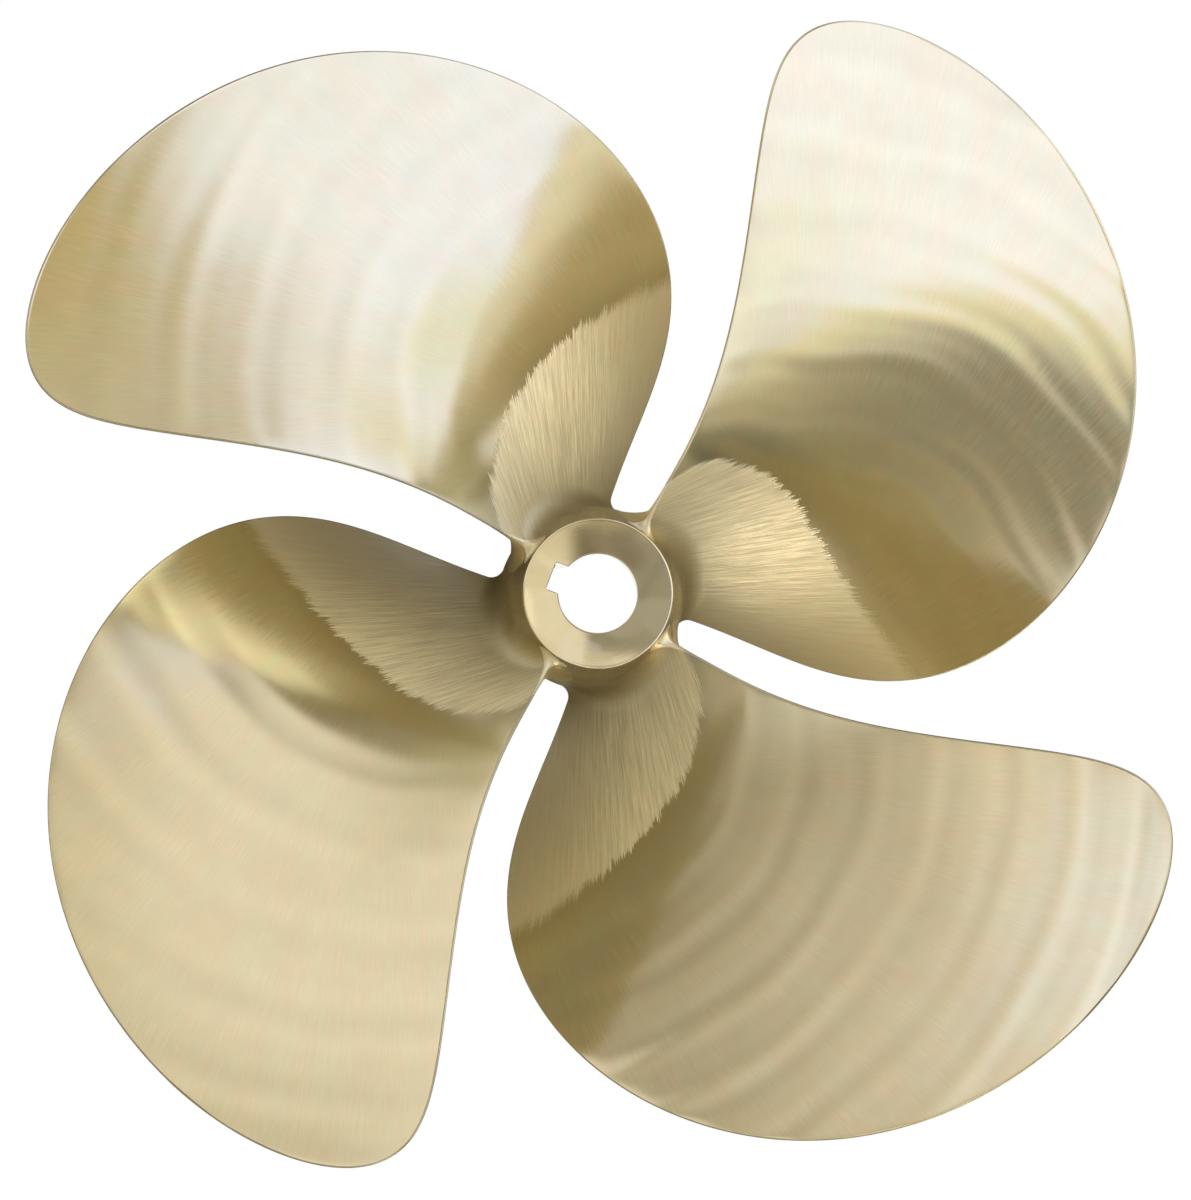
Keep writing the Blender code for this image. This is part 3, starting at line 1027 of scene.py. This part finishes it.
@dataclass(frozen=True)
class Studio:
    """The light: a dome, bright round the shaft's line and dimmer further down, with soft boxes on it.

    Args:
        rings: The dome's own light by degrees off the shaft, from the top down.
        boxes: The soft boxes, each laid over those before it.
    """

    rings: tuple[tuple[float, Colour], ...]
    boxes: tuple[SoftBox, ...]

    def build(self) -> None:
        """The world: a ramp over the angle off the shaft, and the soft boxes in order."""
        world = bpy.data.worlds.new("studio")
        bpy.context.scene.world = world
        n = Nodes(world)
        parts = n.turned_parts(n.add("TexCoord").outputs["Generated"])
        off = n.math("DEGREES", n.math("ARCCOSINE", parts["Z"]))
        flat = n.math("SQRT", n.math("ADD", n.math("MULTIPLY", parts["X"], parts["X"]),
                                     n.math("MULTIPLY", parts["Y"], parts["Y"])))
        scale = n.math("DIVIDE", off, n.math("MAXIMUM", flat, 1e-5))
        right, up = n.math("MULTIPLY", parts["X"], scale), n.math("MULTIPLY", parts["Y"], scale)
        light = n.ramp(n.math("DIVIDE", off, 180.0), self.rings, 180.0)
        for box in self.boxes:
            light = box.shine(n, right, up, light)
        n.feed(n.tree.nodes["Background"].inputs["Color"], light)
        world.cycles.sampling_method = "NONE"


@dataclass(frozen=True)
class Ground:
    """What the propeller rests on, and what stands behind it.

    The photograph's ground was cut away to white, while the bronze still mirrors a duller one. So
    there are two sheets: a white one that is seen, from above only, and a dull one a little lower
    that only the bronze mirrors. A white shell far away, which only the camera sees, closes the view.

    Args:
        half: Half the sheets' width.
        drop: How far the upper sheet lies below the casting's foot.
        shell_rows: Points of the shell from pole to pole.
        shell_columns: Points round it.
        glow: The seen sheet's own light.
        dull: The mirrored sheet's light by distance from the shaft: a painted shadow round the hub, white
            under the bore.
        patches: Soft patches on the mirrored sheet.
    """

    # The chart's distances: 20 steps for each doubling from 0.1 m
    CHART_START: ClassVar[float] = 0.1
    CHART_STEPS: ClassVar[float] = 20.0

    half: float = 14.0
    drop: float = 0.0003
    shell_rows: int = 25
    shell_columns: int = 49
    glow: float = 1.0
    dull: tuple[tuple[float, Colour], ...] = (
        (0.000, (1.00, 1.00, 1.00)),
        (0.052, (1.00, 1.00, 1.00)),
        (0.064, (0.30, 0.27, 0.18)),
        (0.180, (0.40, 0.37, 0.26)),
        (0.330, (0.44, 0.42, 0.31)),
        (2.000, (0.50, 0.48, 0.38)),
    )
    patches: tuple[SoftBox, ...] = soft_boxes(
        # Round the hub's left side: dark patches, a painted shadow
        (172, 2, 42, 14, 0, 20, 12, 0.09, 0.07, 0.03),
        (-160, 2, 40, 14, 0, 30, 12, 0.09, 0.07, 0.03),
        (138, 20, 26, 13, 0, 12, 6, 0.10, 0.08, 0.03),
        # The ring that the blades mirror in each other
        (42, 90, 42, 55, 0, 16, 8, 0.68, 0.70, 0.66),
        (35, 90, 11, 55, 0, 20, 8, 0.56, 0.53, 0.42),
        (83, 45, 19, 10, 0, 5, 6, 1.26, 1.44, 1.95),
        (55, 44, 8, 5, 0, 4, 3, 0.62, 0.61, 0.52),
        (169.5, 36, 14.3, 3.2, 0, 3, 2, 1.80, 2.08, 2.60),
        (-155, 90, 20, 56, 0, 12, 4, 0.44, 0.44, 0.38),
        (-114, 90, 7, 56, 0, 4, 4, 0.37, 0.38, 0.36),
        (-58, 90, 19, 56, 0, 6, 4, 0.84, 0.85, 0.77),
        (-45, 48, 6, 5, 0, 5, 3, 1.20, 1.38, 1.90),
        # Far off, below the window and to the right
        (-76, 122, 21, 36, 0, 14, 16, 4.20, 4.05, 3.80),
        (12, 112, 20, 42, 0, 14, 16, 2.60, 2.50, 2.25),
        (45, 84, 8, 20, 0, 6, 12, 0.40, 0.38, 0.24),
        (-158, 130, 20, 24, 0, 14, 14, 1.10, 1.05, 0.92),
        (88, 110, 16, 50, 0, 12, 16, 0.27, 0.25, 0.18),
    )

    def build(self) -> None:
        """Both sheets and the shell."""
        seen = self.sheet("floor", self.drop, self.seen())
        seen.visible_glossy = False
        mirrored = self.sheet("floor_in_mirror", 2 * self.drop, self.mirrored())
        mirrored.visible_camera = mirrored.visible_diffuse = mirrored.visible_shadow = False
        self.shell()

    def glowing(self, name: str, glow: float) -> Nodes:
        """A finish with its own white light, which throws nothing back."""
        n = Nodes(bpy.data.materials.new(name))
        n.dress({"Base Color": (0, 0, 0, 1), "Roughness": 0.9, "Specular IOR Level": 0.0,
                 "Emission Color": (1, 1, 1, 1), "Emission Strength": glow})
        n.material.cycles.emission_sampling = "NONE"
        return n

    def seen(self) -> Material:
        """White paper, which is clear from its underside."""
        n = self.glowing("floor", self.glow)
        n.dress({"Alpha": n.math("SUBTRACT", 1.0, n.add("NewGeometry").outputs["Backfacing"])})
        return n.material

    def mirrored(self) -> Material:
        """A glow that changes with the distance from the shaft, with the patches laid on it."""
        n = self.glowing("floor_in_mirror", 1.0)
        reach = self.dull[-1][0]
        away = n.add("VectorMath", {0: n.place()}, operation="LENGTH").outputs["Value"]
        light = n.ramp(n.math("DIVIDE", away, reach), self.dull, reach)
        parts = n.turned_parts(n.place())
        around = n.math("DEGREES", n.math("ARCTAN2", parts["Y"], parts["X"]))
        doublings = n.math("LOGARITHM", n.math("DIVIDE", away, self.CHART_START), 2.0)
        steps = n.math("MULTIPLY", doublings, self.CHART_STEPS)
        for patch in self.patches:
            light = patch.shine(n, around, steps, light)
        n.dress({"Emission Color": light})
        return n.material

    def sheet(self, name: str, drop: float, finish: Material) -> bpy.types.Object:
        """One flat sheet, a little below the casting's foot."""
        h = self.half
        corners = [(-h, -h, -drop), (h, -h, -drop), (h, h, -drop), (-h, h, -drop)]
        return self.staged(name, corners, [(0, 1, 2, 3)], finish)

    def staged(self, name: str, points: list, quads: list, finish: Material) -> bpy.types.Object:
        """A mesh of the stage, from its points and the corner numbers of its faces."""
        mesh = bpy.data.meshes.new(name)
        mesh.from_pydata(points, [], quads)
        mesh.materials.append(finish)
        made = bpy.data.objects.new(name, mesh)
        bpy.context.scene.collection.objects.link(made)
        return made

    def shell(self) -> None:
        """A white shell round the studio, which only the camera sees."""
        tilt, turn = np.meshgrid(np.linspace(0, math.pi, self.shell_rows),
                                 np.linspace(0, 2 * math.pi, self.shell_columns), indexing="ij")
        round_points = (np.sin(tilt) * np.cos(turn), np.sin(tilt) * np.sin(turn), np.cos(tilt))
        points = np.stack(round_points, axis=-1) * 2 * self.half
        finish = self.glowing("backdrop", 1.0).material
        quads = Sheet(points).quads(0).tolist()
        made = self.staged("backdrop", points.reshape(-1, 3).tolist(), quads, finish)
        made.visible_diffuse = made.visible_glossy = made.visible_transmission = False
        made.visible_volume_scatter = made.visible_shadow = False


@dataclass(frozen=True)
class PhotoCamera:
    """The camera at the photograph's viewing angle, found from the propeller's outline.

    Args:
        lean: How far the view leans off the shaft, right and up, for each metre along it.
        distance: Distance from the target.
        target: Height on the shaft that the camera looks at.
        focal: Focal length in pixels of the photograph.
        size: The photograph's width and height in pixels.
        middle: Where the target falls in the photograph, in pixels.
        clip: Nearest and furthest distance that it sees.
    """

    lean: tuple[float, float] = (-0.044530618, -0.02804783)
    distance: float = 4.0
    target: float = 0.1
    focal: float = 5670.676
    size: tuple[int, int] = (1191, 1200)
    middle: tuple[float, float] = (594.784, 595.452)
    clip: tuple[float, float] = (0.1, 60.0)

    def build(self) -> bpy.types.Object:
        """The camera, turned from the photograph's axes to the casting's."""
        turn = Matrix.Rotation(PHOTO_TURN, 3, "Z")
        back = Vector((*self.lean, 1.0)).normalized()
        right = Vector((0, 1, 0)).cross(back).normalized()
        axes = Matrix((right, back.cross(right), back)).transposed()
        data = bpy.data.cameras.new("photo_camera")
        long_side = max(self.size)
        data.sensor_fit = "AUTO"
        data.lens = self.focal * data.sensor_width / long_side
        data.shift_x = (self.size[0] / 2 - self.middle[0]) / long_side
        data.shift_y = (self.middle[1] - self.size[1] / 2) / long_side
        data.clip_start, data.clip_end = self.clip
        camera = bpy.data.objects.new("photo_camera", data)
        place = Matrix.Translation(turn @ (Vector((0, 0, self.target)) + back * self.distance))
        camera.matrix_world = place @ (turn @ axes).to_4x4()
        bpy.context.scene.collection.objects.link(camera)
        bpy.context.scene.camera = camera
        return camera


class Direction(Enum):
    """The four blades by where they stand in the photograph."""

    UPPER_LEFT = 0
    LOWER_LEFT = 1
    LOWER_RIGHT = 2
    UPPER_RIGHT = 3


GRINDINGS = {
    Direction.UPPER_LEFT: Grinding(
        sweep=0.152, spacing=0.043, phase=0.383, height=0.00042, sway=0.003, spread=0.1, banding=0.045,
        zone=(0.00, 0.35, 0.42), root_border=(0.231, 0.170, 0.121, 0.085)),
    Direction.LOWER_LEFT: Grinding(
        sweep=0.1435, spacing=0.050, phase=0.310, height=0.00036, sway=0.003, banding=0.034,
        band_edge=3.2, root_border=(0.250, 0.173, 0.134, 0.097)),
    Direction.LOWER_RIGHT: Grinding(
        sweep=0.115, spacing=0.037, phase=0.302, height=0.00048, sway=0.003, banding=0.05,
        root_border=(0.245, 0.172, 0.122, 0.080)),
    Direction.UPPER_RIGHT: Grinding(
        sweep=0.178, spacing=0.034, phase=0.310, height=0.00028, sway=0.008, spread=0.3, banding=0.02,
        edge_shade=0.85, root_border=(0.233, 0.168, 0.145, 0.106)),
}

# Most of these boxes and of the ground's patches were fitted by least squares to the photograph's
# colours on the blades, traced back through their reflections. They were then changed, and others
# added, by comparing renders with the photograph's colours
STUDIO = Studio(
    rings=(
        (0.0, (0.94, 0.90, 0.78)),
        (24.0, (0.94, 0.90, 0.78)),
        (30.0, (0.47, 0.44, 0.36)),
        (100.0, (0.47, 0.44, 0.36)),
    ),
    boxes=soft_boxes(
        # The room's walls; the one at the lower left is the dome's own light
        (43, 40, 54, 47, -4, 6, 6, 1.18, 1.31, 1.86),
        (-45, 57, 43, 51, -4, 12, 10, 0.98, 0.97, 0.96),
        (46, -55, 46, 52, -3, 4, 6, 0.19, 0.19, 0.14),
        # Right of the shaft, for the upper left blade
        (8, 21, 18, 28, -30, 27, 50, 0.58, 0.49, 0.21),
        (33, 18, 8, 10, 0, 8, 8, 1.16, 1.29, 1.72),
        (73, 26, 8, 45, 6, 35, 7, 1.05, 1.08, 1.02),
        (49, 52, 15, 6, 60, 33, 14, 0.98, 1.01, 0.96),
        # Above, for the lower left blade
        (-33, 63, 32, 8, 7, 11, 8, 0.34, 0.31, 0.22),
        (1, 29, 4, 34, -55, 18, 1, 0.66, 0.64, 0.55),
        (-55, 57, 12, 11, -27, 50, 9, 0.52, 0.50, 0.35),
        (-3, 58.8, 21, 7.2, -22, 18, 3, 0.20, 0.17, 0.07),
        # Left, for the lower right blade
        (-12, -38, 13, 37, 39, 41, 29, 0.83, 0.80, 0.78),
        (-65, -25, 4, 39, -22, 13, 11, 0.15, 0.14, 0.04),
        (-11, -26, 7, 11, 7, 18, 17, 1.15, 1.30, 1.72),
        (-38, -61, 12, 11, -25, 45, 12, 0.78, 0.79, 0.79),
        # Below, for the upper right blade
        (56, -28, 24, 21, 16, 50, 12, 0.64, 0.60, 0.46),
        (-11, -43, 7, 17, 35, 25, 18, 0.89, 0.85, 0.77),
        (23, -14, 29, 18, -18, 32, 6, 1.25, 1.37, 1.84),
        (24, -31.5, 28, 1.3, -18, 20, 3, 1.00, 0.97, 0.50),
        (14, -37, 11, 5, -18, 6, 3, 0.32, 0.31, 0.26),
        (26, -59, 27, 5, -26, 12, 20, 0.34, 0.28, 0.10),
        (54, -30, 19, 5, -28, 16, 8, 1.16, 1.28, 1.44),
        # A low window at the lower right, which lights the brushed root of the upper right blade
        (27, -82, 20, 6, 18, 14, 4, 4.40, 4.20, 3.95),
        # Low windows at the right and at the left, for the roots, with dimmer patches by the right one
        (82, 18, 6, 21, 12, 4, 10, 2.40, 2.30, 2.05),
        (60, 62, 6, 16, 46, 5, 10, 0.50, 0.48, 0.32),
        (57, 22, 5, 16, 18, 7, 12, 1.02, 1.13, 1.18),
        (-80, -28, 6, 18, 20, 4, 10, 1.25, 1.20, 1.05),
        # A dim doorway above
        (3, 82, 17, 9, 0, 8, 8, 0.19, 0.17, 0.11),
        # Round the shaft's own line, for the hub's aft face
        (0, 0, 19, 19, 0, 6, 6, 0.96, 0.90, 0.78),
        (12, 1, 12.3, 14.5, 0, 2, 2, 0.38, 0.37, 0.33),
        (5, 13, 9, 6, 0, 6, 6, 0.24, 0.21, 0.16),
    ),
)


def main() -> None:
    """Builds the propeller, then the studio."""
    logging.basicConfig(level=logging.INFO, format="%(message)s")
    ground = GroundBronze().material()
    turned = TurnedBronze().material()
    hub = HubForm()
    Hub(hub).build([ground, turned, turned])
    form = BladeForm()
    for direction, grinding in GRINDINGS.items():
        name = f"blade_{direction.value + 1}"
        Blade(name, direction.value * math.pi / 2, form, hub, grinding).build([ground])
    STUDIO.build()
    Ground().build()
    PhotoCamera().build()
    bpy.context.scene.view_settings.view_transform = "Standard"


if __name__ == "__main__":
    main()
